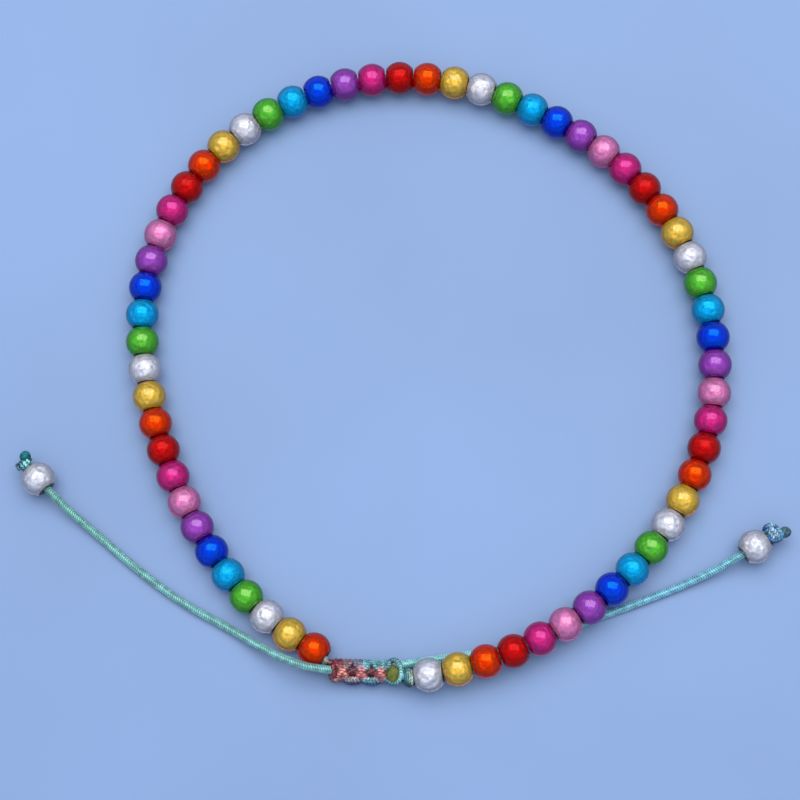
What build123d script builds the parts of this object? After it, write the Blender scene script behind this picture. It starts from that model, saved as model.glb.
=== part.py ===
from build123d import *

import os
from math import cos, pi, radians, tan

os.makedirs("parts", exist_ok=True)

# An adjustable beaded anklet, lying flat as it would be put down. Millimetres, +Z up.
# The origin is on the ground, at the middle of the ring of beads: the bottom centre of
# the box round everything but the two free tails and what is on them. +Y points away
# from the sliding knot, which closes the ring at its -Y side.

# ---------------------------------------------------------------- driving dimensions
CORD_DIAMETER = 1.0
CORD_RADIUS = CORD_DIAMETER / 2

BEADS = 62
BEAD_DIAMETER = 4.0
BEAD_RADIUS = BEAD_DIAMETER / 2
BEAD_LENGTH = 3.16  # along the hole, between the two flattened ends
BEAD_EDGE = 0.3  # rounding where a flattened end meets the round
BEAD_HOLE = 1.2
BEAD_PITCH = 3.4  # along the string

# The string's centre line, seen from above: it leaves the left end of the sliding knot
# and runs clockwise, in arcs that join tangentially, to the last bead at the right.
RING_START = (-11.4, -34.4)
RING_HEADING = 154.5  # degrees from +X
RING_ARCS = (
    # radius, turn in degrees
    (33, 28),
    (55, 31),
    (30, 57),
    (32, 64),
    (75, 7),
    (34, 90),
    (41, 52),
)

# The right tail lies under the string, which rises over it in one long low hump.
HUMP_HEIGHT = 1.13
HUMP_MIDDLE = 57.2  # in beads from the start of the string
HUMP_HALF_LENGTH = 7.5  # in beads

# The sliding knot: square knots side by side round the two crossing ends of the string.
# It lies along its own X axis, and its own -Y side faces out of the ring.
KNOT_MIDDLE = (-6.8, -36.05, 1.47)
KNOT_TURN = -1.5  # degrees about +Z
KNOT_CORE_LENGTH = 8.4
KNOT_CORE_RADIUS = 1.05
KNOT_STRAND_RADIUS = 0.46
KNOT_WRAP_RADIUS = 1.0  # from the knot's axis to the middle of a wrapped strand
KNOT_WRAPS = 7
KNOT_WRAP_PITCH = 1.12
KNOT_WRAP_LEAN = 12  # degrees, to one side and the other in turn
KNOT_SIDE_LOOPS = 4  # where a strand turns back down, along the outer side
KNOT_SIDE_LOOP_PITCH = 2.15
KNOT_SIDE_LOOP_START = -3.75  # the first one, along the knot
KNOT_SIDE_LOOP_OUT = 1.08  # from the knot's axis to the middle of the strand
KNOT_SIDE_LOOP_HEIGHT = 1.1  # its straight stretch

# The knot's last loop, which closes its right end over the strand's melted cut end.
LAST_LOOP_MIDDLE = (3.05, 0.0, 0.85)  # in the knot's own frame
LAST_LOOP_TILT = 14  # degrees about Y, its right side down
LAST_LOOP_WIDTH = 1.3  # along the knot, to the middle of the strand
LAST_LOOP_LENGTH = 2.3  # across the knot
LAST_LOOP_RADIUS = 0.36

LAST_LOOP_SEAT = 0.28  # from the middle of its strand down to the flat seat it lies on
LAST_LOOP_SEAT_EDGE = 0.08  # how far the seat stands out past the strand

MELT_WIDTH = 1.1
MELT_LENGTH = 1.9
MELT_HEIGHT = 0.7  # from the last loop's seat
MELT_EDGE = 0.3

# The stopper knot, two turns round the string between the last bead and the knot.
STOPPER_TURNS = 2
STOPPER_TURN_PITCH = 0.42
STOPPER_TURN_RADIUS = 0.8
STOPPER_STRAND_RADIUS = 0.33
STOPPER_TURN_LEAN = 8
STOPPER_HOLE = 1.18
STOPPER_SETBACK = 1.1  # from the string's end in the sliding knot to the stopper's middle

# The two tails' routes: out of the sliding knot, past the string, along the ground, and
# through the end bead to the end knot.
LEFT_TAIL = (
    (-10.75, -36.0, 2.4),
    (-12.6, -35.9, 3.35),
    (-14.9, -35.35, 3.4),
    (-18.6, -33.7, 1.9),
    (-22.8, -31.2, 0.5),
    (-28.8, -28.1, 0.5),
    (-34.8, -23.7, 0.5),
    (-39.6, -19.6, 0.5),
    (-44.4, -15.6, 2.0),
    (-47.45, -12.0, 2.0),
)
RIGHT_TAIL = (
    (-2.9, -35.3, 1.15),
    (-0.3, -34.8, 0.5),
    (4.8, -34.05, 0.5),
    (10.6, -33.0, 0.5),
    (17.0, -30.8, 0.5),
    (24.6, -28.0, 0.5),
    (31.0, -25.5, 0.5),
    (36.2, -22.9, 2.0),
    (40.15, -20.3, 2.0),
)
END_BEAD_SETBACK = BEAD_LENGTH / 2 + 0.4  # from a tail's end to its bead's middle

# Where the string's own cord ends inside the sliding knot, at its left and its right.
THREAD_LEFT_END = (-10.0, -35.2, 1.8)
THREAD_RIGHT_END = (-2.9, -36.6, 1.9)

# The end knots: turns of the tail's own cord, with its melted cut end standing out.
END_KNOT_CORE_RADIUS = 0.8
END_KNOT_TURN_RADIUS = 0.62  # from the tail's axis to the middle of a turn
END_KNOT_STRAND_RADIUS = 0.42
END_KNOT_TIP_RADIUS = 0.55
END_KNOTS = (
    # side, middle beyond the tail's end, turns, pitch, lean, tip's reach, tip's turn
    ("left", 0.66, 3, 0.42, 10, 1.0, -42),
    ("right", 0.73, 2, 0.85, 16, 1.5, -31),
)


# ------------------------------------------------------------------------- functions
def string_lift(beads_along):
    """How far the string is raised at a place, counted in beads from its start."""
    share = abs(beads_along - HUMP_MIDDLE) / HUMP_HALF_LENGTH
    if share >= 1:
        return 0.0
    return HUMP_HEIGHT * (1 + cos(pi * share)) / 2


def corner_radii(points):
    """For each corner of a route, the largest arc that its two runs leave room for."""
    radii = []
    for before, corner, after in zip(points, points[1:], points[2:]):
        run_in = Vector(*corner) - Vector(*before)
        run_out = Vector(*after) - Vector(*corner)
        shorter = min(run_in.length, run_out.length)
        turn = radians(run_in.get_angle(run_out))
        radii.append(0.45 * shorter / tan(turn / 2))
    return radii


def plane_near_end(route, beyond):
    """A plane across a route, so far beyond its last point. Its own X points up."""
    last = Vector(*route[-1])
    direction = (last - Vector(*route[-2])).normalized()
    return Plane(origin=last + direction * beyond, x_dir=(0, 0, 1), z_dir=direction)


def save(piece, name):
    piece.label = name
    export_step(piece, f"parts/{name}.step")


# ------------------------------------------------------------------ the string's line
with BuildLine() as ring:
    corner = Vector(*RING_START)
    heading = Vector(1, 0, 0).rotate(Axis.Z, RING_HEADING)
    for radius, turn in RING_ARCS:
        arc = JernArc(start=corner, tangent=heading, radius=radius, arc_size=-turn)
        corner = arc @ 1
        heading = arc % 1

string_line = ring.wire()
gap_points = []
for gap in range(BEADS + 1):
    below = string_line.position_at(gap * BEAD_PITCH, position_mode=PositionMode.LENGTH)
    gap_points.append(below + Vector(0, 0, BEAD_RADIUS + string_lift(gap)))

bead_places = []
for near, far in zip(gap_points, gap_points[1:]):
    bead_places.append(Plane(origin=(near + far) / 2, z_dir=far - near))

# ---------------------------------------------------------------------------- beads
with BuildPart() as bead:
    with BuildSketch(Plane.XZ):
        with BuildLine():
            half = BEAD_LENGTH / 2
            rim = (BEAD_RADIUS**2 - half**2) ** 0.5
            ThreePointArc((rim, -half), (BEAD_RADIUS, 0), (rim, half))
            Polyline((rim, half), (BEAD_HOLE / 2, half), (BEAD_HOLE / 2, -half), (rim, -half))
        profile = make_face()
        fillet(profile.vertices().filter_by(lambda v: v.X > BEAD_HOLE), radius=BEAD_EDGE)
    revolve(axis=Axis.Z)

with BuildPart() as bead_string:
    with Locations(*bead_places):
        add(bead.part)
save(bead_string.part, "bead_string")

for side, route in (("left", LEFT_TAIL), ("right", RIGHT_TAIL)):
    with BuildPart() as end_bead:
        with Locations(plane_near_end(route, -END_BEAD_SETBACK)):
            add(bead.part)
    save(end_bead.part, f"{side}_end_bead")

# ---------------------------------------------------------------------------- cords
thread_route = (THREAD_LEFT_END, *[tuple(point) for point in gap_points], THREAD_RIGHT_END)
cord_routes = (
    ("string_thread", thread_route),
    ("left_tail", LEFT_TAIL),
    ("right_tail", RIGHT_TAIL),
)
for name, route in cord_routes:
    radii = corner_radii(route)
    first_run = Vector(*route[1]) - Vector(*route[0])
    with BuildPart() as cord:
        with BuildLine() as path:
            FilletPolyline(*route, radius=radii)
        with BuildSketch(Plane(origin=route[0], z_dir=first_run)):
            Circle(CORD_RADIUS)
        sweep(path=path.wire())
    save(cord.part, name)
    length = path.wire().length
    ratio = cord.part.volume / (pi * CORD_RADIUS**2 * length)
    print(f"{name}: {length:.1f} mm long, volume {ratio:.4f} of section times length")
    print("  corner radii in mm:", ", ".join(f"{radius:.1f}" for radius in radii))

# -------------------------------------------------------------------- the sliding knot
knot_plane = Plane(KNOT_MIDDLE).rotated((0, 0, KNOT_TURN))
last_loop_plane = Plane(knot_plane * Location(LAST_LOOP_MIDDLE, (0, LAST_LOOP_TILT, 0)))

with BuildSketch(last_loop_plane) as last_loop:
    straight = LAST_LOOP_LENGTH - LAST_LOOP_WIDTH
    SlotCenterToCenter(straight, LAST_LOOP_WIDTH, rotation=90)
last_loop_path = last_loop.sketch.face().outer_wire()
last_loop_seat = last_loop_plane.offset(-LAST_LOOP_SEAT)

with BuildPart(knot_plane) as sliding_knot:
    Cylinder(KNOT_CORE_RADIUS, KNOT_CORE_LENGTH, rotation=(0, 90, 0))
    for wrap in range(KNOT_WRAPS):
        along = (wrap - (KNOT_WRAPS - 1) / 2) * KNOT_WRAP_PITCH
        lean = KNOT_WRAP_LEAN * (-1) ** wrap
        with Locations(Location((along, 0, 0), (0, 90, lean))):
            Torus(KNOT_WRAP_RADIUS, KNOT_STRAND_RADIUS)
    for loop in range(KNOT_SIDE_LOOPS):
        along = KNOT_SIDE_LOOP_START + loop * KNOT_SIDE_LOOP_PITCH
        with Locations((along, -KNOT_SIDE_LOOP_OUT, 0)):
            Cylinder(KNOT_STRAND_RADIUS, KNOT_SIDE_LOOP_HEIGHT)
        for end in (-KNOT_SIDE_LOOP_HEIGHT / 2, KNOT_SIDE_LOOP_HEIGHT / 2):
            with Locations((along, -KNOT_SIDE_LOOP_OUT, end)):
                Sphere(KNOT_STRAND_RADIUS)
    with BuildSketch(last_loop_seat):
        edge = LAST_LOOP_RADIUS + LAST_LOOP_SEAT_EDGE
        SlotOverall(LAST_LOOP_LENGTH + 2 * edge, LAST_LOOP_WIDTH + 2 * edge, rotation=90)
    extrude(amount=2 * LAST_LOOP_WIDTH, mode=Mode.SUBTRACT)
    with BuildSketch(Plane(origin=last_loop_path @ 0, z_dir=last_loop_path % 0)):
        Circle(LAST_LOOP_RADIUS)
    sweep(path=last_loop_path)
    with BuildSketch(last_loop_seat):
        SlotOverall(MELT_LENGTH, MELT_WIDTH, rotation=90)
    extrude(amount=2 * MELT_HEIGHT, mode=Mode.SUBTRACT)
save(sliding_knot.part, "sliding_knot")

with BuildPart() as knot_end_melt:
    with BuildSketch(last_loop_seat):
        SlotOverall(MELT_LENGTH, MELT_WIDTH, rotation=90)
    extrude(amount=MELT_HEIGHT)
    fillet(knot_end_melt.faces().sort_by(Axis.Z)[-1].edges(), radius=MELT_EDGE)
save(knot_end_melt.part, "knot_end_melt")

# ----------------------------------------------------------------- the smaller knots
with BuildPart(plane_near_end(thread_route, -STOPPER_SETBACK)) as stopper_knot:
    for turn in range(STOPPER_TURNS):
        along = (turn - (STOPPER_TURNS - 1) / 2) * STOPPER_TURN_PITCH
        lean = STOPPER_TURN_LEAN * (-1) ** turn
        with Locations(Location((0, 0, along), (lean, 0, 0))):
            Torus(STOPPER_TURN_RADIUS, STOPPER_STRAND_RADIUS)
    Hole(STOPPER_HOLE / 2)
save(stopper_knot.part, "stopper_knot")

routes = {"left": LEFT_TAIL, "right": RIGHT_TAIL}
for side, beyond, turns, pitch, lean, tip_reach, tip_turn in END_KNOTS:
    with BuildPart(plane_near_end(routes[side], beyond)) as end_knot:
        Sphere(END_KNOT_CORE_RADIUS)
        for turn in range(turns):
            along = (turn - (turns - 1) / 2) * pitch
            with Locations(Location((0, 0, along), (lean * (-1) ** turn, 0, 0))):
                Torus(END_KNOT_TURN_RADIUS, END_KNOT_STRAND_RADIUS)
        with Locations(Location((0, 0, 0), (tip_turn, 0, 0))):
            Cylinder(END_KNOT_TIP_RADIUS, tip_reach, align=(Align.CENTER, Align.CENTER, Align.MIN))
            with Locations((0, 0, tip_reach)):
                Sphere(END_KNOT_TIP_RADIUS)
    save(end_knot.part, f"{side}_end_knot")
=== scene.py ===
import math

import bpy
import numpy as np
from mathutils import Matrix, Vector


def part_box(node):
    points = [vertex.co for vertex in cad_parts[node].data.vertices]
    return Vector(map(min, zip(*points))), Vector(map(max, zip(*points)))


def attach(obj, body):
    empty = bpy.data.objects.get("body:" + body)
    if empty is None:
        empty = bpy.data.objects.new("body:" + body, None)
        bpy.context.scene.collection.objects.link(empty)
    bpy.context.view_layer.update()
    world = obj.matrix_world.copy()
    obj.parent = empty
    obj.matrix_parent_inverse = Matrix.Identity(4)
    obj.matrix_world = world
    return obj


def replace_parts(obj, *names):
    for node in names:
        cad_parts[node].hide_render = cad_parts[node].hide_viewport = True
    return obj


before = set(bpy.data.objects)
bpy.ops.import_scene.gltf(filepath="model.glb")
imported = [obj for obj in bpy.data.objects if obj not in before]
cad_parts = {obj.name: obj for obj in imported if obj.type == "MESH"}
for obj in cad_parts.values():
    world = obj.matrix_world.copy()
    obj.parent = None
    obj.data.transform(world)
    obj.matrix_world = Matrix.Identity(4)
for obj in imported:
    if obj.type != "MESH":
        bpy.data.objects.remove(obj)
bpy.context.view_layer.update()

# The looks of a beaded anklet: mirror-cored beads in dyed lacquer, on a braided cord that
# is closed by a sliding knot. Metres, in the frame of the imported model.
MM = 0.001

# ---------------------------------------------------------------- camera and the light
CAMERA_PLACE = Vector((7.21, -53.29, 245.91)) * MM
CAMERA_TARGET = Vector((-3.11, -3.93, 2.0)) * MM
CAMERA_UP = Vector((-0.0083, 1.0, 0.0))
CAMERA_LENS = 94.05  # in millimetres, as is the sensor's width
CAMERA_SENSOR = 36.0
CAMERA_NEAR, CAMERA_FAR = 0.005, 20.0

FLOOR_COLOUR = (0.094, 0.151, 0.272)
FLOOR_SIZE = 4.0
KEY_PLACE, KEY_SIZE = (0.04, 0.32, 0.90), (1.2, 0.78)
KEY_RADIANCE, KEY_COLOUR = 4.9, (1.0, 0.99, 0.97)
FILL_PLACE, FILL_SIZE = (0.0, 0.0, 1.0), (2.4, 2.4)
FILL_RADIANCE, FILL_COLOUR = 0.65, (0.95, 0.98, 1.0)
SKY_STRENGTH, SKY_COLOUR = 1.09, (0.70, 0.83, 1.0)

# ------------------------------------------------------------------------ driving sizes
CORD_RADIUS = 0.5 * MM
BEAD_RADIUS = 2.0 * MM
BEAD_HALF_LENGTH = 1.64 * MM  # 1.58 in the model, whose beads stay 0.1 mm clear of each other
BEAD_EDGE = 0.28 * MM
BEAD_HOLE_RADIUS = 0.6 * MM
CORE_RADIUS = 1.20 * MM
CORE_HOLE_RADIUS = 0.62 * MM
CORE_STEPS, CORE_SEGMENTS = 18, 32
LINING_HOLE_RADIUS = BEAD_HOLE_RADIUS + 0.02 * MM
LINING_THICKNESS = 0.05 * MM
LINING_HALF_LENGTH = 1.6 * MM
LINING_SEGMENTS = 20

# The routes of the two free tails, in millimetres, as the model's source has them.
LEFT_TAIL = (
    (-10.75, -36.0, 2.4),
    (-12.6, -35.9, 3.35),
    (-14.9, -35.35, 3.4),
    (-18.6, -33.7, 1.9),
    (-22.8, -31.2, 0.5),
    (-28.8, -28.1, 0.5),
    (-34.8, -23.7, 0.5),
    (-39.6, -19.6, 0.5),
    (-44.4, -15.6, 2.0),
    (-47.45, -12.0, 2.0),
)
RIGHT_TAIL = (
    (-2.9, -35.3, 1.15),
    (-0.3, -34.8, 0.5),
    (4.8, -34.05, 0.5),
    (10.6, -33.0, 0.5),
    (17.0, -30.8, 0.5),
    (24.6, -28.0, 0.5),
    (31.0, -25.5, 0.5),
    (36.2, -22.9, 2.0),
    (40.15, -20.3, 2.0),
)

# The ten colours, in their order round the string from the sliding knot's left end.
# One pink is left out of the third round.
COLOURS = (
    # name, foil tint, lacquer colour, gloss tint
    ("orange", (1.00, 1.00, 0.05), (0.858, 0.020, 0.002), (0.67, 0.50, 0.02)),
    ("gold", (1.00, 1.00, 1.00), (0.870, 0.630, 0.042), (0.92, 1.00, 0.80)),
    ("white", (1.00, 1.00, 1.00), (0.816, 0.793, 0.832), (1.00, 1.00, 1.00)),
    ("green", (1.00, 1.00, 1.00), (0.093, 0.624, 0.002), (1.00, 1.00, 0.62)),
    ("turquoise", (0.27, 1.00, 1.00), (0.003, 0.510, 0.821), (0.05, 1.00, 1.00)),
    ("blue", (0.12, 1.00, 1.00), (0.003, 0.014, 0.791), (0.02, 0.75, 1.00)),
    ("purple", (1.00, 1.00, 1.00), (0.470, 0.047, 0.595), (1.00, 0.75, 1.00)),
    ("pink", (0.99, 1.00, 1.00), (0.845, 0.290, 0.600), (1.00, 1.00, 1.00)),
    ("magenta", (1.00, 1.00, 1.00), (0.748, 0.006, 0.270), (1.00, 0.35, 1.00)),
    ("red", (1.00, 0.51, 0.44), (0.684, 0.002, 0.002), (0.90, 0.08, 0.08)),
)
# Places of the sliding knot and of the thread's ends, in millimetres.
KNOT_PLACE = Vector((-6.8, -36.05, 1.47))
THREAD_LEFT_END = (-10.0, -35.2, 1.8)  # inside the sliding knot
THREAD_LEFT_BEND = (-11.31, -35.04, 2.0)  # between the sliding knot and the first bead
THREAD_RIGHT_END = (-2.9, -36.6, 1.9)
MISSING_PINK = 27  # how many beads come before the place where a pink is left out
LACQUER_DENSITY = 860.0
LACQUER_CLEARNESS = 0.88
FOIL_METALLIC = 0.75
FOIL_SHADE = 0.62  # how bright the foil's dullest flakes are, to its brightest
# Painted shade: the flat ends round the beads' holes are painted dark, as they lie in shade
# between the beads.
MOUTH_PAINTED_SHADE = 0.1  # how bright a bead's flat ends are, to its lacquer's colour
# Painted shade: the linings of the beads' holes are painted dark, so the beads' ends look shaded.
LINING_PAINTED_SHADE = 0.5  # how bright the lining of a bead's hole is, to its lacquer's colour


# ----------------------------------------------------------------------------- materials
def new_material(name):
    material = bpy.data.materials.new(name)
    material.use_nodes = True
    nodes = material.node_tree.nodes
    return material, nodes, material.node_tree.links, nodes["Principled BSDF"]


def add_node(nodes, kind, **values):
    """A node with its plain properties set, and its sockets set by their names."""
    node = nodes.new(kind)
    for name, value in values.items():
        if hasattr(node, name):
            setattr(node, name, value)
        else:
            node.inputs[name.replace("_", " ")].default_value = value
    return node


def ramp(nodes, *stops):
    node = nodes.new("ShaderNodeValToRGB")
    elements = node.color_ramp.elements
    while len(elements) < len(stops):
        elements.new(0.5)
    for element, (place, colour) in zip(elements, stops):
        element.position = place
        element.color = (*colour, 1.0)
    return node


def lacquer_material(name, colour, gloss):
    """Dyed lacquer: glass-like, with some body, and the more coloured the thicker it is."""
    material, nodes, links, shader = new_material(name)
    shader.inputs["Base Color"].default_value = (*colour, 1.0)
    shader.inputs["Transmission Weight"].default_value = LACQUER_CLEARNESS
    shader.inputs["IOR"].default_value = 1.5
    shader.inputs["Roughness"].default_value = 0.05
    shader.inputs["Specular Tint"].default_value = (*gloss, 1.0)
    place = add_node(nodes, "ShaderNodeTexCoord")
    noise = add_node(nodes, "ShaderNodeTexNoise", Scale=900.0, Detail=2.0)
    bump = add_node(nodes, "ShaderNodeBump", Strength=0.06, Distance=0.0002)
    links.new(place.outputs["Object"], noise.inputs["Vector"])
    links.new(noise.outputs["Fac"], bump.inputs["Height"])
    links.new(bump.outputs["Normal"], shader.inputs["Normal"])
    depth = add_node(nodes, "ShaderNodeVolumeAbsorption", Density=LACQUER_DENSITY)
    depth.inputs["Color"].default_value = (*colour, 1.0)
    links.new(depth.outputs["Volume"], nodes["Material Output"].inputs["Volume"])
    return material


def foil_material(name, tint, metallic):
    """Crazed mirror foil on a bead's core, in flakes of uneven brightness."""
    material, nodes, links, shader = new_material(name)
    shader.inputs["Metallic"].default_value = metallic
    place = add_node(nodes, "ShaderNodeTexCoord")
    cells = add_node(nodes, "ShaderNodeTexVoronoi", Scale=1900.0)
    cells.feature = "SMOOTH_F1"
    clouds = add_node(nodes, "ShaderNodeTexNoise", Scale=1700.0, Detail=6.0, Roughness=0.65)
    for texture in (cells, clouds):
        links.new(place.outputs["Object"], texture.inputs["Vector"])
    shade = ramp(
        nodes,
        (0.36, tuple(FOIL_SHADE * channel for channel in tint)),
        (0.58, tint),
    )
    links.new(clouds.outputs["Fac"], shade.inputs["Fac"])
    links.new(shade.outputs["Color"], shader.inputs["Base Color"])
    dull = add_node(nodes, "ShaderNodeMapRange", To_Min=0.30, To_Max=0.46)
    links.new(clouds.outputs["Fac"], dull.inputs["Value"])
    links.new(dull.outputs["Result"], shader.inputs["Roughness"])
    blend = add_node(nodes, "ShaderNodeMath", operation="ADD")
    links.new(cells.outputs["Distance"], blend.inputs[0])
    links.new(clouds.outputs["Fac"], blend.inputs[1])
    bump = add_node(nodes, "ShaderNodeBump", Strength=0.8, Distance=0.0003)
    links.new(blend.outputs["Value"], bump.inputs["Height"])
    links.new(bump.outputs["Normal"], shader.inputs["Normal"])
    return material


def shaded_mouth_material(name, colour):
    """The flat end of a bead, round its hole, painted dark as shade."""
    material, nodes, links, shader = new_material(name)
    place = add_node(nodes, "ShaderNodeTexCoord")
    clouds = add_node(nodes, "ShaderNodeTexNoise", Scale=3000.0, Detail=3.0)
    links.new(place.outputs["Object"], clouds.inputs["Vector"])
    shade = ramp(
        nodes,
        (0.35, tuple(0.5 * channel for channel in colour)),
        (0.65, colour),
    )
    links.new(clouds.outputs["Fac"], shade.inputs["Fac"])
    links.new(shade.outputs["Color"], shader.inputs["Base Color"])
    shader.inputs["Roughness"].default_value = 0.5
    shader.inputs["Specular IOR Level"].default_value = 0.2
    return material


def braid_material(name, darkest, palest):
    """Satin braid, unevenly dyed, with painted shade in its plait's grooves and a painted
    highlight on its crests. Each strand's dye, painted light and shade included, and its relief
    are kept with its mesh.
    """
    material, nodes, links, shader = new_material(name)
    dye_and_shade = add_node(nodes, "ShaderNodeAttribute", attribute_name="dye_and_shade")
    relief_and_shade = add_node(nodes, "ShaderNodeAttribute", attribute_name="relief_and_shade")
    place = add_node(nodes, "ShaderNodeTexCoord")
    fibres = add_node(nodes, "ShaderNodeTexNoise", Scale=9000.0, Detail=3.0)
    links.new(place.outputs["Object"], fibres.inputs["Vector"])
    # Painted shade in the plait's grooves and a painted highlight on its crests, set by each
    # vertex's relief.
    depth = ramp(
        nodes,
        (0.0, (0.10, 0.14, 0.18)),
        (0.5, (0.55, 0.58, 0.62)),
        (1.0, (1.15, 1.15, 1.12)),
    )
    links.new(relief_and_shade.outputs["Fac"], depth.inputs["Fac"])
    shaded = add_node(nodes, "ShaderNodeMix", data_type="RGBA", blend_type="MULTIPLY")
    shaded.inputs["Factor"].default_value = 1.0
    links.new(dye_and_shade.outputs["Color"], shaded.inputs["A"])
    links.new(depth.outputs["Color"], shaded.inputs["B"])
    patches = add_node(nodes, "ShaderNodeTexNoise", Scale=1500.0, Detail=2.0)
    links.new(place.outputs["Object"], patches.inputs["Vector"])
    uneven = ramp(nodes, (0.38, (darkest,) * 3), (0.60, (palest,) * 3))
    links.new(patches.outputs["Fac"], uneven.inputs["Fac"])
    mottled = add_node(nodes, "ShaderNodeMix", data_type="RGBA", blend_type="MULTIPLY")
    mottled.inputs["Factor"].default_value = 1.0
    links.new(shaded.outputs["Result"], mottled.inputs["A"])
    links.new(uneven.outputs["Color"], mottled.inputs["B"])
    links.new(mottled.outputs["Result"], shader.inputs["Base Color"])
    gloss = add_node(nodes, "ShaderNodeMapRange", To_Min=0.30, To_Max=0.45)
    links.new(fibres.outputs["Fac"], gloss.inputs["Value"])
    links.new(gloss.outputs["Result"], shader.inputs["Roughness"])
    shader.inputs["Metallic"].default_value = 0.15
    shader.inputs["Sheen Weight"].default_value = 0.05
    shader.inputs["Sheen Roughness"].default_value = 0.4
    shader.inputs["Specular IOR Level"].default_value = 0.5
    bump = add_node(nodes, "ShaderNodeBump", Strength=0.3, Distance=0.00003)
    links.new(fibres.outputs["Fac"], bump.inputs["Height"])
    links.new(bump.outputs["Normal"], shader.inputs["Normal"])
    return material


def melt_material(name, deep, pale):
    """Cord melted to a hard smooth bead of plastic."""
    material, nodes, links, shader = new_material(name)
    place = add_node(nodes, "ShaderNodeTexCoord")
    clouds = add_node(nodes, "ShaderNodeTexNoise", Scale=2600.0, Detail=4.0)
    links.new(place.outputs["Object"], clouds.inputs["Vector"])
    shade = ramp(nodes, (0.35, deep), (0.65, pale))
    links.new(clouds.outputs["Fac"], shade.inputs["Fac"])
    links.new(shade.outputs["Color"], shader.inputs["Base Color"])
    shader.inputs["Roughness"].default_value = 0.4
    shader.inputs["Specular IOR Level"].default_value = 0.15
    bump = add_node(nodes, "ShaderNodeBump", Strength=0.5, Distance=0.00008)
    links.new(clouds.outputs["Fac"], bump.inputs["Height"])
    links.new(bump.outputs["Normal"], shader.inputs["Normal"])
    return material


def floor_material():
    material, nodes, links, shader = new_material("floor")
    place = add_node(nodes, "ShaderNodeTexCoord")
    clouds = add_node(nodes, "ShaderNodeTexNoise", Scale=18.0, Detail=3.0)
    links.new(place.outputs["Object"], clouds.inputs["Vector"])
    pale = tuple(min(1.0, 1.06 * channel) for channel in FLOOR_COLOUR)
    deep = tuple(0.95 * channel for channel in FLOOR_COLOUR)
    shade = ramp(nodes, (0.35, deep), (0.65, pale))
    links.new(clouds.outputs["Fac"], shade.inputs["Fac"])
    links.new(shade.outputs["Color"], shader.inputs["Base Color"])
    shader.inputs["Roughness"].default_value = 0.6
    return material


# ------------------------------------------------------------------------- mesh helpers
def new_piece(name, vertices, faces, material, slot):
    mesh = bpy.data.meshes.new(name)
    mesh.from_pydata([tuple(v) for v in vertices], [], faces)
    mesh.validate()
    mesh.shade_smooth()
    mesh.materials.append(material)
    piece = bpy.data.objects.new(name, mesh)
    bpy.context.scene.collection.objects.link(piece)
    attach(piece, "root")
    return piece


def joined(parts):
    """Several (vertices, faces) as one."""
    vertices, faces, start = [], [], 0
    for part_vertices, part_faces in parts:
        vertices.append(part_vertices)
        faces += [tuple(start + index for index in face) for face in part_faces]
        start += len(part_vertices)
    return np.vstack(vertices), faces


def grid_faces(rows, columns, closed_rows=False):
    """Faces of a grid whose columns close on themselves."""
    faces = []
    for row in range(rows if closed_rows else rows - 1):
        below = (row + 1) % rows
        for column in range(columns):
            beside = (column + 1) % columns
            faces.append((row * columns + column, row * columns + beside,
                          below * columns + beside, below * columns + column))
    return faces


def turned(profile, segments):
    """A closed profile of (radius, height) turned about Z."""
    profile = np.array(profile)
    angles = np.linspace(0, 2 * math.pi, segments, endpoint=False)
    x = profile[:, :1] * np.cos(angles)
    y = profile[:, :1] * np.sin(angles)
    z = np.repeat(profile[:, 1:], segments, axis=1)
    vertices = np.stack([x, y, z], axis=2).reshape(-1, 3)
    return vertices, grid_faces(len(profile), segments, closed_rows=True)


def bead_profile(radius, half_length, edge, hole, steps):
    """Half the outline of a drilled ball with flattened, rounded ends."""
    flat = math.sqrt((radius - edge) ** 2 - (half_length - edge) ** 2)
    last = math.atan2(half_length - edge, flat)
    points = []
    for angle in np.linspace(-last, last, steps):
        points.append((radius * math.cos(angle), radius * math.sin(angle)))
    rounding = half_length - edge
    for angle in np.linspace(last, math.pi / 2, 4)[1:]:
        points.append((flat + edge * math.cos(angle), rounding + edge * math.sin(angle)))
    lip_width, lip_depth = 0.1 * edge, 0.3 * edge
    points.append((hole + lip_width, half_length))
    points.append((hole, half_length - lip_depth))
    points.append((hole, 0.0))
    points.append((hole, -half_length + lip_depth))
    points.append((hole + lip_width, -half_length))
    for angle in np.linspace(-math.pi / 2, -last, 4)[:-1]:
        points.append((flat + edge * math.cos(angle), -rounding + edge * math.sin(angle)))
    return points


def core_profile(radius, hole, steps):
    """Half the outline of the drilled ball inside a bead."""
    last = math.acos(hole / radius)
    angles = np.linspace(-last, last, steps)
    points = [(radius * math.cos(angle), radius * math.sin(angle)) for angle in angles]
    return points + [(hole, 0.0)]


def lining_profile(hole, half_length):
    """Half the outline of the thin dull lining of a bead's hole, which is painted dark as shade.
    """
    outside = hole + LINING_THICKNESS
    return [
        (outside, -half_length),
        (outside, half_length),
        (hole, half_length),
        (hole, -half_length),
    ]


def placed(part, centre, axis):
    """A turned part with its axis laid along another."""
    vertices, faces = part
    turn = np.array(Vector((0, 0, 1)).rotation_difference(Vector(axis)).to_matrix())
    return vertices @ turn.T + np.array(centre), faces


def nurbs_line(name, route_mm):
    """Points along the NURBS spline that has a route's points as its control points."""
    curve = bpy.data.curves.new(name, "CURVE")
    curve.dimensions = "3D"
    spline = curve.splines.new("NURBS")
    spline.points.add(len(route_mm) - 1)
    for point, place in zip(spline.points, route_mm):
        point.co = (*(Vector(place) * MM), 1.0)
    spline.order_u = 3
    spline.use_endpoint_u = True
    spline.resolution_u = 32
    line = bpy.data.objects.new(name, curve)
    mesh = bpy.data.meshes.new_from_object(line)
    points = np.array([vertex.co for vertex in mesh.vertices])
    bpy.data.objects.remove(line)
    bpy.data.curves.remove(curve)
    bpy.data.meshes.remove(mesh)
    return points


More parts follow.
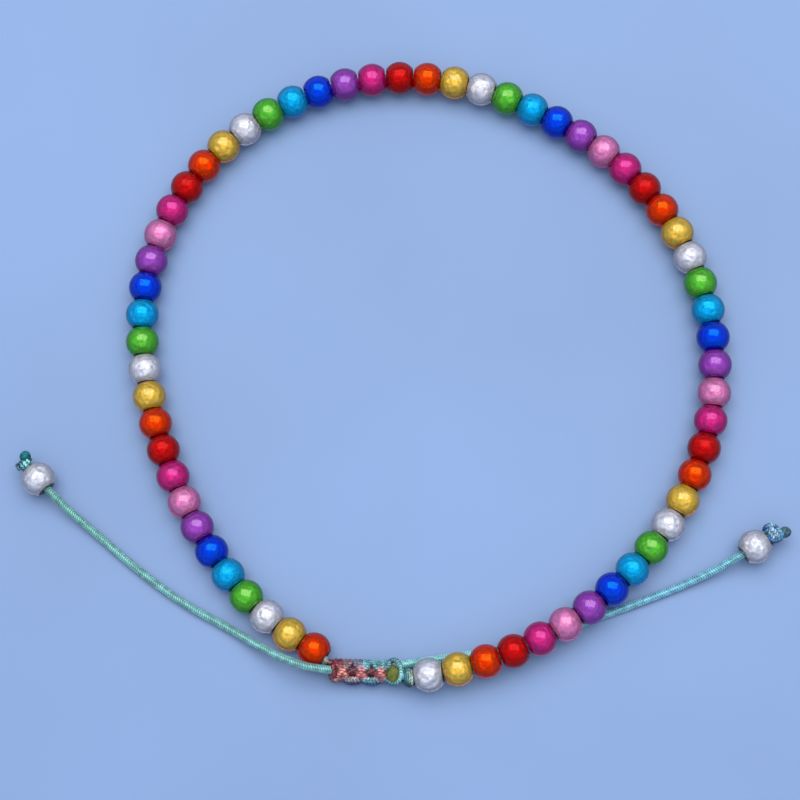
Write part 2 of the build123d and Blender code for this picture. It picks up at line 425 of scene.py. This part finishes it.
def smooth_line(points_mm, steps=24):
    """Points along a Catmull-Rom curve that passes through the given ones."""
    stops = np.array(points_mm, float) * MM
    padded = np.vstack([2 * stops[0] - stops[1], stops, 2 * stops[-1] - stops[-2]])
    line = []
    for a, b, c, d in zip(padded, padded[1:], padded[2:], padded[3:]):
        for t in np.linspace(0, 1, steps, endpoint=False):
            line.append(0.5 * (2 * b + (c - a) * t + (2 * a - 5 * b + 4 * c - d) * t**2
                               + (3 * b - a - 3 * c + d) * t**3))
    line.append(stops[-1])
    return np.array(line)


def evenly(line, spacing):
    """A line's points again at one even spacing, and how far along it each one lies."""
    along = np.r_[0, np.cumsum(np.linalg.norm(np.diff(line, axis=0), axis=1))]
    places = np.linspace(0, along[-1], max(2, round(along[-1] / spacing)))
    return np.stack([np.interp(places, along, line[:, k]) for k in range(3)], axis=1), places


def side_vectors(line):
    """Two unit vectors across a line at each of its points, with no twist between them."""
    ahead = np.gradient(line, axis=0)
    ahead /= np.linalg.norm(ahead, axis=1, keepdims=True)
    first = np.cross(ahead[0], (0, 0, 1))
    if np.linalg.norm(first) < 0.1:
        first = np.cross(ahead[0], (0, 1, 0))
    sides = [first / np.linalg.norm(first)]
    for direction in ahead[1:]:
        side = sides[-1] - direction * np.dot(sides[-1], direction)
        sides.append(side / np.linalg.norm(side))
    sides = np.array(sides)
    return sides, np.cross(ahead, sides)


# ------------------------------------------------------------------------------- cords
# How far apart a tube's rings of points are, and how many points each ring has.
TAIL_SPACING, TAIL_SEGMENTS = 0.04 * MM, 36
THREAD_SPACING, THREAD_SEGMENTS = 0.11 * MM, 16
STRAND_SPACING, STRAND_SEGMENTS = 0.05 * MM, 20
KNOT_CORE_SPACING = 0.1 * MM
STRAND_TAPER = 0.12 * MM
RIB_DEPTH = 0.2  # of the cord's radius
# Painted shade: a tube's end caps get a middling relief, so the material paints them in shade.
END_PAINTED_SHADE = 0.4  # the relief that shades the middle of a tube's end
# columns round the cord, stitch length, and how narrow the stitches' crests are
CORD_PLAIT = (6, 0.28 * MM, 0.7)
KNOT_PLAIT = (4, 0.32 * MM, 1.1)
STITCH_LEAN = 0.8  # of a stitch's length, from one edge of its column to the other
SEAM_DEPTH = 0.4  # how much of the relief is lost in the seams between the columns


def plait_relief(around, along, columns, pitch, sharpness):
    """From 0 between a plait's stitches to 1 on their crests. Stitches lean one way in one
    column and the other way in the next."""
    column = columns * around / (2 * math.pi)
    lean = np.abs(column % 2 - 1)
    stitch = np.abs(np.sin(math.pi * (along / pitch + STITCH_LEAN * lean))) ** sharpness
    seam = np.abs(np.sin(math.pi * column)) ** 0.5
    return stitch * (1 - SEAM_DEPTH + SEAM_DEPTH * seam)


def braided_tube(line, radius, spacing, around, dye_and_shade, plait=CORD_PLAIT, taper=0.0):
    """A closed tube with a plait's stitches, as (mesh, relief, colours); the relief also paints
    shade in the grooves and a highlight on the crests. dye gives the colour, painted light and
    shade included, at each share of its length."""
    line, along = evenly(line, spacing)
    sides, ups = side_vectors(line)
    angles = np.linspace(0, 2 * math.pi, around, endpoint=False)
    relief_and_shade = plait_relief(angles[None, :], along[:, None], *plait)
    reach = radius * (1 - RIB_DEPTH * (1 - relief_and_shade))
    if taper:
        inset = np.minimum(along, along[-1] - along)
        rounding = np.sqrt(np.clip(1 - (1 - np.clip(inset / taper, 0, 1)) ** 2, 0.02, 1))
        reach = reach * rounding[:, None]
    vertices = (line[:, None, :]
                + reach[..., None] * np.cos(angles)[None, :, None] * sides[:, None, :]
                + reach[..., None] * np.sin(angles)[None, :, None] * ups[:, None, :])
    rows = len(line)
    vertices = vertices.reshape(-1, 3)
    faces = grid_faces(rows, around)
    ends = np.array([line[0], line[-1]])
    first, last = len(vertices), len(vertices) + 1
    for column in range(around):
        beside = (column + 1) % around
        faces.append((first, beside, column))
        faces.append((last, (rows - 1) * around + column, (rows - 1) * around + beside))
    vertices = np.vstack([vertices, ends])
    shares = along / along[-1]
    colours = np.array([dye_and_shade(share) for share in shares])
    colours = np.repeat(colours, around, axis=0)
    colours = np.vstack([colours, dye_and_shade(0.0), dye_and_shade(1.0)])
    heights = np.r_[relief_and_shade.reshape(-1), END_PAINTED_SHADE, END_PAINTED_SHADE]
    return (vertices, faces), heights, colours


def lacquer_piece(name, places, colour, slot):
    """The lacquer of some beads, with the flat ends round their holes painted darker as shade."""
    shells = joined([placed(shell, *place) for place in places])
    piece = new_piece(name, *shells, lacquers[colour], slot)
    piece.data.materials.append(shaded_mouths[colour])
    for polygon in piece.data.polygons:
        row = polygon.index % len(shell[1]) // SHELL_SEGMENTS
        if row in SHADED_MOUTH_ROWS:
            polygon.material_index = 1
    return piece


def core_piece(name, places, colour):
    """The foil balls of some beads, with their holes' linings in a duller foil, painted dark as
    shade.
    """
    balls = joined([placed(core, *place) for place in places])
    sleeves = joined([placed(lining, *place) for place in places])
    piece = new_piece(name, *joined([balls, sleeves]), foils[colour], "bead_core")
    piece.data.materials.append(shaded_linings[colour])
    for polygon in piece.data.polygons[len(balls[1]):]:
        polygon.material_index = 1
    return piece


def add_attributes(piece, heights, colours):
    """Each vertex's relief and dye, kept with the mesh for the braid's material, which paints
    shade and highlight from the relief; the dye has painted light and shade in it.
    """
    relief_and_shade = piece.data.attributes.new("relief_and_shade", "FLOAT", "POINT")
    relief_and_shade.data.foreach_set("value", np.asarray(heights, np.float32))
    dye_and_shade = piece.data.color_attributes.new("dye_and_shade", "FLOAT_COLOR", "POINT")
    flat = np.c_[colours, np.ones(len(colours))].astype(np.float32)
    dye_and_shade.data.foreach_set("color", flat.reshape(-1))


def blended(table):
    """A dye function from (share, colour) rows."""
    shares = [row[0] for row in table]
    colours = np.array([row[1] for row in table])

    def dye_and_shade(share):
        return np.array([np.interp(share, shares, colours[:, k]) for k in range(3)])

    return dye_and_shade


def cord_piece(name, tubes, material, slot):
    """One piece out of several braided tubes."""
    vertices, faces = joined([tube[0] for tube in tubes])
    piece = new_piece(name, vertices, faces, material, slot)
    add_attributes(
        piece,
        np.concatenate([tube[1] for tube in tubes]),
        np.vstack([tube[2] for tube in tubes]),
    )
    return piece


# The dyes of the cords and knots, with painted shade and painted light among them.
TEAL = (0.11, 0.30, 0.32)
MINT = (0.12, 0.30, 0.28)
AQUA = (0.17, 0.42, 0.40)
SEA = (0.12, 0.32, 0.42)
SEA_GREEN = (0.10, 0.27, 0.22)
# Painted shade: the teal cord darkened where it lies in shade, between the beads, under the turns
# of the wound knots and inside the knots.
SEA_SHADE = (0.012, 0.09, 0.12)
ROSE = (0.20, 0.02, 0.03)
SALMON = (0.54, 0.15, 0.125)
CORAL = (0.44, 0.115, 0.10)
WINE = (0.1, 0.003, 0.012)
LAVENDER = (0.14, 0.12, 0.17)
CREAM = (0.33, 0.25, 0.23)
# Painted shade: the dark strands under the sliding knot's side loops.
INDIGO_SHADE = (0.03, 0.03, 0.14)
NAVY_SHADE = (0.005, 0.05, 0.14)
TAN = (0.18, 0.10, 0.11)
# Painted shade: the shaded sides of the stopper's turns.
SLATE_SHADE = (0.007, 0.011, 0.02)
DEEP_TEAL = (0.05, 0.22, 0.20)
SAGE = (0.26, 0.34, 0.26)
PALE_MINT = (0.36, 0.52, 0.43)
PALE_AQUA = (0.20, 0.50, 0.48)
PALE_BLUE = (0.44, 0.62, 0.80)
SKY = (0.22, 0.38, 0.50)
DEEP_BLUE = (0.012, 0.09, 0.25)
braid = braid_material("satin_braid", 0.7, 1.15)
knot_braid = braid_material("knotted_braid", 0.4, 1.25)
melted_olive = melt_material("melted_olive", (0.036, 0.052, 0.005), (0.080, 0.082, 0.006))
melted_green = melt_material("melted_green", (0.001, 0.022, 0.028), (0.002, 0.10, 0.105))
melted_grey = melt_material("melted_grey", (0.008, 0.02, 0.032), (0.04, 0.08, 0.10))


# ------------------------------------------------------------------------------- beads
SAME_PLACE = 0.002 * MM  # vertices that lie in one cell of this size count as one


def loose_parts(node):
    """The vertices of each loose part of a node's mesh."""
    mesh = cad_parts[node].data
    places = np.array([vertex.co for vertex in mesh.vertices])
    parent = list(range(len(places)))

    def root(index):
        while parent[index] != index:
            parent[index] = parent[parent[index]]
            index = parent[index]
        return index

    keys = {}
    for index, place in enumerate(places):
        key = tuple(np.round(place / SAME_PLACE).astype(int))
        parent[index] = keys.setdefault(key, index)
    for edge in mesh.edges:
        a, b = root(edge.vertices[0]), root(edge.vertices[1])
        parent[max(a, b)] = min(a, b)
    groups = {}
    for index in range(len(places)):
        groups.setdefault(root(index), []).append(index)
    return [places[group] for group in groups.values()]


def bead_centres(node):
    """The centre of each bead of a node, in order clockwise round the ring from its knot."""
    centres = [(points.min(0) + points.max(0)) / 2 for points in loose_parts(node)]
    return sorted(centres, key=ring_angle)


def ring_angle(centre):
    """Clockwise angle about the ring's middle, from the sliding knot."""
    start = math.atan2(KNOT_PLACE.y, KNOT_PLACE.x)
    return (start - math.atan2(centre[1], centre[0])) % (2 * math.pi)


def string_bead_places():
    """(centre, axis) of each bead of the string. A bead points from its neighbour to the next."""
    centres = bead_centres("bead_string")
    befores = [Vector(THREAD_LEFT_BEND) * MM, *centres[:-1]]
    afters = [*centres[1:], Vector(THREAD_RIGHT_END) * MM]
    return [(centre, (Vector(after) - Vector(before)).normalized())
            for centre, before, after in zip(centres, befores, afters)]


SHELL_STEPS, SHELL_SEGMENTS = 22, 40
# The rows of each bead's flat ends and hole, which are painted dark as shade.
SHADED_MOUTH_ROWS = range(SHELL_STEPS + 1, SHELL_STEPS + 9)  # from one flat end's rim to the other's
shell = turned(
    bead_profile(BEAD_RADIUS, BEAD_HALF_LENGTH, BEAD_EDGE, BEAD_HOLE_RADIUS, SHELL_STEPS),
    SHELL_SEGMENTS,
)
core = turned(core_profile(CORE_RADIUS, CORE_HOLE_RADIUS, CORE_STEPS), CORE_SEGMENTS)
lining = turned(lining_profile(LINING_HOLE_RADIUS, LINING_HALF_LENGTH), LINING_SEGMENTS)
string_beads = string_bead_places()

lacquers, foils, shaded_linings, shaded_mouths = {}, {}, {}, {}
for colour, tint, dye_and_shade, gloss in COLOURS:
    lacquers[colour] = lacquer_material(f"lacquer_{colour}", dye_and_shade, gloss)
    foils[colour] = foil_material(f"foil_{colour}", tint, FOIL_METALLIC)
    # Painted shade: a hole's lining is a darkened copy of its bead's lacquer colour.
    deep = tuple(LINING_PAINTED_SHADE * channel for channel in dye_and_shade)
    shaded_linings[colour] = foil_material(f"lining_{colour}", deep, 0.0)
    # Painted shade: a bead's flat ends are a darkened copy of its lacquer's colour.
    mouth_shade = tuple(MOUTH_PAINTED_SHADE * channel for channel in dye_and_shade)
    shaded_mouths[colour] = shaded_mouth_material(f"mouth_{colour}", mouth_shade)

by_colour = {row[0]: [] for row in COLOURS}
for number, place in enumerate(string_beads):
    step = number if number < MISSING_PINK else number + 1
    by_colour[COLOURS[step % len(COLOURS)][0]].append(place)

for colour, places in by_colour.items():
    lacquer = lacquer_piece(f"beads_{colour}_lacquer", places, colour, f"bead_{colour}")
    foil = core_piece(f"beads_{colour}_core", places, colour)
    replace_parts(lacquer, "bead_string")
    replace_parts(foil, "bead_string")

for side, route in (("left", LEFT_TAIL), ("right", RIGHT_TAIL)):
    node = f"{side}_end_bead"
    low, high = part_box(node)
    axis = (Vector(route[-1]) - Vector(route[-2])).normalized()
    place = ((low + high) / 2, axis)
    lacquer = lacquer_piece(f"{node}_lacquer", [place], "white", "bead_white")
    foil = core_piece(f"{node}_core", [place], "white")
    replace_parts(lacquer, node)
    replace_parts(foil, node)

# ------------------------------------------------------------------------------- knots
KNOT_TURN = math.radians(-1.5)
# Where the middles of its three square knots and of its side loops lie along it, in millimetres.
KNOT_CENTRES = (-2.70, -0.45, 1.78)
SIDE_LOOP_CENTRES = (-1.60, 0.62)
# The radii of its core and strands.
KNOT_CORE_RADIUS = 0.78 * MM
FAN_RADIUS = 0.36 * MM
BRIDGE_RADIUS = 0.27 * MM
SIDE_LOOP_RADIUS = 0.37 * MM
# The dark strand under each side loop is painted shade.
SIDE_LOOP_SHADE_RADIUS = 0.40 * MM
FIRST_LOOP_RADIUS = 0.42 * MM
FIRST_WRAP_RADIUS = 0.36 * MM
LAST_LOOP_RADIUS = 0.34 * MM
# The strands of a fan: where each rises and where it ends, along the knot from the fan's
# middle, and how far it is lifted over the ones below. All in millimetres.
FAN_STRANDS = (
    (-0.12, -0.26, 0.0),
    (0.12, 0.28, 0.0),
    (0.40, -0.76, 0.08),
    (-0.42, 0.78, 0.16),
)


def in_knot(points):
    """Points of the sliding knot's own frame, in the model's frame. Both in millimetres."""
    turn = Matrix.Rotation(KNOT_TURN, 3, "Z")
    return [tuple(turn @ Vector(point) + KNOT_PLACE) for point in points]


def strand(points, radius, colours, spacing=STRAND_SPACING, around=STRAND_SEGMENTS):
    """A braided strand through points, in millimetres, with colours evenly along it."""
    shares = np.linspace(0, 1, len(colours))
    return braided_tube(smooth_line(points), radius, spacing, around,
                        blended(list(zip(shares, colours))), KNOT_PLAIT, STRAND_TAPER)


def fan(middle, bar, left_edge, right_edge):
    """Strands that rise between two side loops, cross, and spread over the knot's core."""
    tubes = []
    for foot, top, lift in FAN_STRANDS:
        points = (
            (0.7 * foot, -0.98, -0.30),
            (foot, -0.62, 0.46 + 0.5 * lift),
            (0.65 * foot + 0.35 * top, -0.12, 0.80 + lift),
            (0.1 * foot + 0.9 * top, 0.52, 0.76 + 0.5 * lift),
            (1.10 * top, 0.94, 0.40),
            (1.05 * top, 1.06, -0.15),
            (0.9 * top, 0.70, -0.55),
        )
        placed_points = in_knot([(x + middle, y, z) for x, y, z in points])
        edge = left_edge if top < 0 else right_edge
        tubes.append(strand(placed_points, FAN_RADIUS, (bar,) * 4 + (edge,) * 4))
    return tubes


def bridge(left, right, colour):
    """Two strands that cross from one square knot to the next, over the knot's core."""
    middle = (left + right) / 2
    rising = ((left + 0.1, -0.50, 0.46), (left + 0.5, -0.28, 0.58), (middle, -0.02, 0.66),
              (right - 0.5, 0.26, 0.64), (right - 0.1, 0.44, 0.50))
    falling = ((left + 0.1, 0.48, 0.50), (left + 0.5, 0.30, 0.56), (middle, 0.04, 0.56),
               (right - 0.5, -0.22, 0.52), (right - 0.1, -0.44, 0.42))
    return [strand(in_knot(points), BRIDGE_RADIUS, (ROSE, colour, ROSE))
            for points in (rising, falling)]


def side_loop(middle, colour, tip, underside_shade):
    """Out from under the knot's core, along its outer edge and back under, on a dark strand below
    it that is painted shade.
    """
    points = (
        (-0.82, -0.35, -0.60),
        (-0.88, -0.82, -0.10),
        (-0.62, -0.96, 0.36),
        (0.00, -1.00, 0.46),
        (0.62, -0.96, 0.36),
        (0.88, -0.82, -0.10),
        (0.82, -0.35, -0.60),
    )
    below = ((-1.10, -0.86, -0.50), (-0.60, -1.22, -0.30), (0.00, -1.30, -0.24),
             (0.60, -1.22, -0.30), (1.10, -0.86, -0.50))
    upper = in_knot([(x + middle, y, z) for x, y, z in points])
    shade_strand = in_knot([(x + middle, y, z) for x, y, z in below])
    upper_dyes = (colour, colour, tip, colour, tip, colour, colour)
    return [strand(upper, SIDE_LOOP_RADIUS, upper_dyes),
            strand(shade_strand, SIDE_LOOP_SHADE_RADIUS, (underside_shade, underside_shade))]


def sliding_knot():
    """Three square knots tied round a core, with the loops at the knot's two ends."""
    core_line = in_knot([(-3.9, 0.0, 0.0), (-1.5, 0.02, 0.0), (1.0, 0.0, 0.0), (3.3, 0.0, 0.0)])
    core_dyes = (WINE, WINE, WINE, SEA_SHADE)
    tubes = [strand(core_line, KNOT_CORE_RADIUS, core_dyes, spacing=KNOT_CORE_SPACING)]
    fan_dyes = (
        # rising part, left edge, right edge
        (SALMON, ROSE, TAN),
        (CORAL, LAVENDER, TEAL),
        (CORAL, TEAL, TEAL),
    )
    for middle, dyes in zip(KNOT_CENTRES, fan_dyes):
        tubes += fan(middle, *dyes)
    for left, right in zip(KNOT_CENTRES, KNOT_CENTRES[1:]):
        tubes += bridge(left, right, WINE)
    loop_dyes = (
        # loop, two short stretches of it, the dark strand under it, which is painted shade
        (CREAM, LAVENDER, INDIGO_SHADE),
        (MINT, SKY, NAVY_SHADE),
    )
    for middle, dyes in zip(SIDE_LOOP_CENTRES, loop_dyes):
        tubes += side_loop(middle, *dyes)
    first_loop = ((-2.95, -0.25, -0.40), (-3.10, -0.84, 0.05), (-3.45, -1.08, 0.26),
                  (-3.85, -0.98, 0.16), (-4.02, -0.45, 0.20), (-3.7, 0.2, 0.1))
    tubes.append(strand(in_knot(first_loop), FIRST_LOOP_RADIUS, (WINE, ROSE, TAN, ROSE, WINE)))
    first_wrap = ((-3.30, -0.75, -0.30), (-3.62, -0.66, 0.55), (-3.80, -0.10, 1.12),
                  (-3.80, 0.50, 0.92), (-3.66, 0.95, 0.20), (-3.40, 0.60, -0.50))
    wrap_dyes = (WINE, WINE, ROSE, WINE, WINE, WINE)
    tubes.append(strand(in_knot(first_wrap), FIRST_WRAP_RADIUS, wrap_dyes))
    last_loop = ((1.60, -0.15, 0.20), (1.90, -0.50, 0.40), (2.38, -0.98, 0.46),
                 (3.06, -1.30, 0.48), (3.74, -1.12, 0.52), (4.10, -0.42, 0.58),
                 (4.04, 0.47, 0.58), (3.66, 1.16, 0.50), (3.12, 1.34, 0.44),
                 (2.60, 1.02, 0.36), (2.25, 0.60, 0.10))
    last_dyes = (SEA, SEA_SHADE, SEA_SHADE, PALE_AQUA, MINT, SEA_SHADE, SEA_SHADE)
    tubes.append(strand(in_knot(last_loop), LAST_LOOP_RADIUS, last_dyes))
    return cord_piece("sliding_knot_strands", tubes, knot_braid, "knot_cord")


def knot_end_melt():
    """The knot's cord, cut off, melted and pressed flat inside its last loop."""
    outline = ((3.05, 0.88), (2.68, 0.42), (2.36, -0.28), (2.66, -0.92), (3.18, -1.34),
               (3.66, -1.04), (3.96, -0.32), (3.78, 0.32), (3.40, 0.74))
    around = np.array([*outline, outline[0]])
    flat_outline = np.c_[around, np.zeros(len(around))]
    edge = smooth_line(flat_outline, steps=6)[:-1, :2] / MM
    middle = edge.mean(0)
    # How far out each row lies, as a share of the outline, and its height.
    rows = ((0.0, 1.02), (0.45, 1.0), (0.75, 0.93), (0.93, 0.80), (1.0, 0.60), (0.98, 0.30))
    underside = 0.25
    vertices = [(*middle, rows[0][1])]
    for share, height in rows[1:]:
        vertices += [(*(middle + share * (point - middle)), height) for point in edge]
    vertices.append((*middle, underside))
    count = len(edge)
    faces = [(0, 1 + (k + 1) % count, 1 + k)[::-1] for k in range(count)]
    rings = grid_faces(len(rows) - 1, count)
    faces += [tuple(1 + index for index in face[::-1]) for face in rings]
    last = 1 + (len(rows) - 2) * count
    faces += [(len(vertices) - 1, last + (k + 1) % count, last + k) for k in range(count)]
    placed_vertices = np.array(in_knot(vertices)) * MM
    return new_piece("knot_end_melted", placed_vertices, faces, melted_olive, "melted_end")


WOUND_STEPS = 12  # points in each turn of a wound cord
WOUND_PHASE = 0.6  # how far before its top a turn reaches furthest forward, in radians


def wound(middle, direction, turns, pitch, turn_radius, lean, bulge=0.0):
    """Points of a cord wound round a line, in millimetres. Its turns lean over sideways, and
    those at its ends are smaller by the bulge."""
    along = Vector(direction).normalized()
    across = along.cross(Vector((0, 0, 1))).normalized()
    rise = across.cross(along)
    slope = math.tan(math.radians(lean))
    points = []
    for share in np.linspace(0, 1, round(WOUND_STEPS * turns) + 1).tolist():
        angle = 2 * math.pi * turns * share - math.pi / 2
        swing = math.sin(angle + WOUND_PHASE)
        reach = (share - 0.5) * turns * pitch + slope * turn_radius * swing
        radius = turn_radius * (1 - bulge * (2 * share - 1) ** 2)
        points.append(tuple(Vector(middle) + reach * along + radius * math.cos(angle) * across
                            + radius * math.sin(angle) * rise))
    return points


def lit_and_shaded_turn_dyes(turns, underside_shade, *rows):
    """Dyes a quarter of a turn apart along a wound cord, with light and shade painted in: one dark
    dye under every turn. A row has those of one turn's right side, its top and its left side, as
    seen along the line it is wound round."""
    dyes = [underside_shade]
    for row in rows:
        dyes += [*row, underside_shade]
    return dyes[:round(4 * turns) + 1]


TIP_STEPS, TIP_SEGMENTS = 16, 24
TIP_SWELL = 0.12  # of its radius: how much wider the knob is towards the cord
TIP_BORE = 0.01 * MM  # radius of the hairline hole along the turned form's axis


def melted_tip(name, middle, direction, radius, length, material, slot):
    """A cut cord's end melted to a knob: a turned form with its axis along the cord."""
    profile = []
    last = math.pi / 2 - 0.05
    for angle in np.linspace(-last, last, TIP_STEPS):
        swell = 1.0 - TIP_SWELL * math.sin(angle)
        profile.append((radius * swell * math.cos(angle) * MM, length / 2 * math.sin(angle) * MM))
    profile = [(TIP_BORE, profile[0][1]), *profile, (TIP_BORE, profile[-1][1])]
    form = turned(profile, TIP_SEGMENTS)
    part = placed(form, Vector(middle) * MM, Vector(direction).normalized())
    return new_piece(name, *part, material, slot)


knot = sliding_knot()
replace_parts(knot, "sliding_knot")
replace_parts(knot_end_melt(), "knot_end_melt")

STOPPER_PLACE = (-1.84, -36.85, 2.14)
STOPPER_DIRECTION = (1.0, -0.02, 0.0)
STOPPER_TURNS = 4.6
STOPPER_RADIUS = 0.20 * MM
stopper_line = wound(
    STOPPER_PLACE,
    STOPPER_DIRECTION,
    STOPPER_TURNS,
    pitch=0.25,
    turn_radius=0.92,
    lean=10,
    bulge=0.3,
)
# Painted light and shade: each turn is dark underneath and on its right side, and the tops of the
# middle turns are painted pale.
stopper_lit_and_shaded_dyes = lit_and_shaded_turn_dyes(
    STOPPER_TURNS,
    SEA_SHADE,
    (SEA_SHADE, SEA_SHADE, DEEP_TEAL),
    (SEA_SHADE, DEEP_TEAL, DEEP_TEAL),
    (SLATE_SHADE, SAGE, SAGE),
    (SLATE_SHADE, PALE_MINT, SAGE),
    (SLATE_SHADE, SLATE_SHADE, SLATE_SHADE),
)
stopper = cord_piece(
    "stopper_knot_strands",
    [strand(stopper_line, STOPPER_RADIUS, stopper_lit_and_shaded_dyes)],
    knot_braid,
    "knot_cord",
)
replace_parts(stopper, "stopper_knot")

END_KNOT_CORE_RADIUS = 0.50 * MM
END_KNOT_CORE_REACH = 0.75  # from its middle to its ends, in millimetres
END_KNOT_PASS_RADIUS = 0.30 * MM
TIP_RADIUS, TIP_LENGTH = 0.67, 1.35  # in millimetres
END_KNOTS = {
    # side: middle, direction, turns, pitch, turn radius, strand radius, lean,
    # the tip's middle, the tip's direction. Lengths are in millimetres, the lean in degrees.
    "left": ((-47.82, -11.80, 2.0), (-0.757, -0.653, 0.0), 3.6, 0.46, 0.54, 0.24, 6,
             (-47.76, -10.84, 2.30), (0.25, 1.0, 0.6)),
    "right": ((40.76, -19.92, 2.0), (0.84, 0.52, 0.0), 3.2, 0.50, 0.68, 0.33, 14,
              (42.08, -19.68, 2.05), (1.0, 0.05, 0.1)),
}
# Painted light and shade: a turn's top, the middle dye of a row, is mostly paler than its sides,
# which are painted dark.
END_KNOT_LIT_AND_SHADED_DYES = {
    "left": (
        (TEAL, PALE_AQUA, TEAL),
        (TEAL, PALE_AQUA, TEAL),
        (SEA_SHADE, SEA, SEA_SHADE),
        (SEA_SHADE, SEA_SHADE, SEA_SHADE),
    ),
    "right": (
        (DEEP_BLUE, SKY, SEA),
        (DEEP_BLUE, PALE_BLUE, SKY),
        (DEEP_BLUE, SEA, DEEP_BLUE),
        (DEEP_BLUE, SEA_SHADE, SEA_SHADE),
    ),
}
# Passes of the cord over the coil's near and far sides, in millimetres, with their dyes.
END_KNOT_PASSES = {
    "left": (),
    "right": (
        (((39.98, -20.22, 2.3), (40.18, -20.60, 2.6), (40.62, -20.78, 2.72), (41.10, -20.70, 2.72),
          (41.48, -20.42, 2.6), (41.70, -20.0, 2.3)), (DEEP_BLUE, DEEP_BLUE, SEA_SHADE)),
        (((39.62, -19.50, 1.8), (39.75, -19.14, 2.15), (40.02, -18.98, 2.35), (40.40, -18.90, 2.4),
          (40.78, -19.02, 2.35), (41.05, -19.25, 2.3)), (DEEP_BLUE, DEEP_BLUE, SKY, DEEP_BLUE)),
    ),
}
for side, shape in END_KNOTS.items():
    (middle, direction, turns, pitch, turn_radius, strand_radius, lean,
     tip_middle, tip_direction) = shape
    line = wound(middle, direction, turns, pitch, turn_radius, lean)
    core_line = [tuple(Vector(middle) + reach * Vector(direction))
                 for reach in (-END_KNOT_CORE_REACH, 0.0, END_KNOT_CORE_REACH)]
    tubes = [
        strand(line, strand_radius * MM, lit_and_shaded_turn_dyes(turns, SEA_SHADE, *END_KNOT_LIT_AND_SHADED_DYES[side])),
        strand(core_line, END_KNOT_CORE_RADIUS, (SEA_SHADE, SEA_SHADE)),
    ]
    tubes += [strand(points, END_KNOT_PASS_RADIUS, dyes)
              for points, dyes in END_KNOT_PASSES[side]]
    wraps = cord_piece(f"{side}_end_knot_strands", tubes, knot_braid, "teal_cord")
    tip_material = melted_green if side == "left" else melted_grey
    tip = melted_tip(
        f"{side}_end_knot_tip",
        tip_middle,
        tip_direction,
        TIP_RADIUS,
        TIP_LENGTH,
        tip_material,
        "teal_cord",
    )
    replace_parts(wraps, f"{side}_end_knot")
    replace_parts(tip, f"{side}_end_knot")

# --------------------------------------------------------------------- thread and tails
thread_points = [THREAD_LEFT_END, THREAD_LEFT_BEND]
thread_points += [tuple(centre / MM) for centre, _ in string_beads]
thread_points.append(THREAD_RIGHT_END)
thread_line = smooth_line(thread_points, steps=12)
thread_shaded_dye = blended([
    # share of its length, dye; along the string the thread is painted dark as shade between the
    # beads
    (0.0, WINE),
    (0.006, WINE),
    (0.008, SAGE),
    (0.02, SEA_SHADE),
    (0.98, SEA_SHADE),
    (1.0, TEAL),
])
thread_tube = braided_tube(thread_line, CORD_RADIUS, THREAD_SPACING, THREAD_SEGMENTS, thread_shaded_dye)
thread = cord_piece("string_thread_braid", [thread_tube], braid, "teal_cord")
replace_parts(thread, "string_thread")

TAILS = (
    # side, route, dye
    ("left", LEFT_TAIL, blended([(0.0, MINT), (0.5, MINT), (1.0, SEA_GREEN)])),
    ("right", RIGHT_TAIL, blended([(0.0, AQUA), (0.3, AQUA), (0.7, SEA), (1.0, TEAL)])),
)
for side, route, dye_and_shade in TAILS:
    line = nurbs_line(f"{side}_line", route)
    tube = braided_tube(line, CORD_RADIUS, TAIL_SPACING, TAIL_SEGMENTS, dye_and_shade)
    tail = cord_piece(f"{side}_tail_braid", [tube], braid, "teal_cord")
    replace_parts(tail, f"{side}_tail")


# ------------------------------------------------------------------ floor, light, camera
floor = bpy.data.objects.new("floor", bpy.data.meshes.new("floor"))
half = FLOOR_SIZE / 2
floor.data.from_pydata(
    [(-half, -half, 0), (half, -half, 0), (half, half, 0), (-half, half, 0)], [], [(0, 1, 2, 3)]
)
floor.data.materials.append(floor_material())
bpy.context.scene.collection.objects.link(floor)


def area_light(name, place, target, size, radiance, colour):
    """A rectangular panel that looks at a point, as bright as its radiance says."""
    light = bpy.data.lights.new(name, "AREA")
    light.shape = "RECTANGLE"
    light.size, light.size_y = size
    light.energy = radiance * math.pi * size[0] * size[1]
    light.color = colour
    lamp = bpy.data.objects.new(name, light)
    lamp.location = place
    direction = Vector(target) - Vector(place)
    lamp.rotation_euler = direction.to_track_quat("-Z", "Y").to_euler()
    bpy.context.scene.collection.objects.link(lamp)


area_light("key_light", KEY_PLACE, (0, 0, 0), KEY_SIZE, KEY_RADIANCE, KEY_COLOUR)
area_light("fill_light", FILL_PLACE, (0, 0, 0), FILL_SIZE, FILL_RADIANCE, FILL_COLOUR)

world = bpy.data.worlds.new("studio")
world.use_nodes = True
bpy.context.scene.world = world
sky = world.node_tree.nodes["Background"]
sky.inputs["Color"].default_value = (*SKY_COLOUR, 1.0)
sky.inputs["Strength"].default_value = SKY_STRENGTH
bpy.context.scene.view_settings.view_transform = "Standard"

camera = bpy.data.objects.new("camera", bpy.data.cameras.new("camera"))
back = (CAMERA_PLACE - CAMERA_TARGET).normalized()
right = CAMERA_UP.cross(back).normalized()
axes = Matrix((right, back.cross(right), back)).transposed()
camera.matrix_world = Matrix.Translation(CAMERA_PLACE) @ axes.to_4x4()
camera.data.lens = CAMERA_LENS
camera.data.sensor_width = CAMERA_SENSOR
camera.data.clip_start = CAMERA_NEAR
camera.data.clip_end = CAMERA_FAR
bpy.context.scene.collection.objects.link(camera)
bpy.context.scene.camera = camera
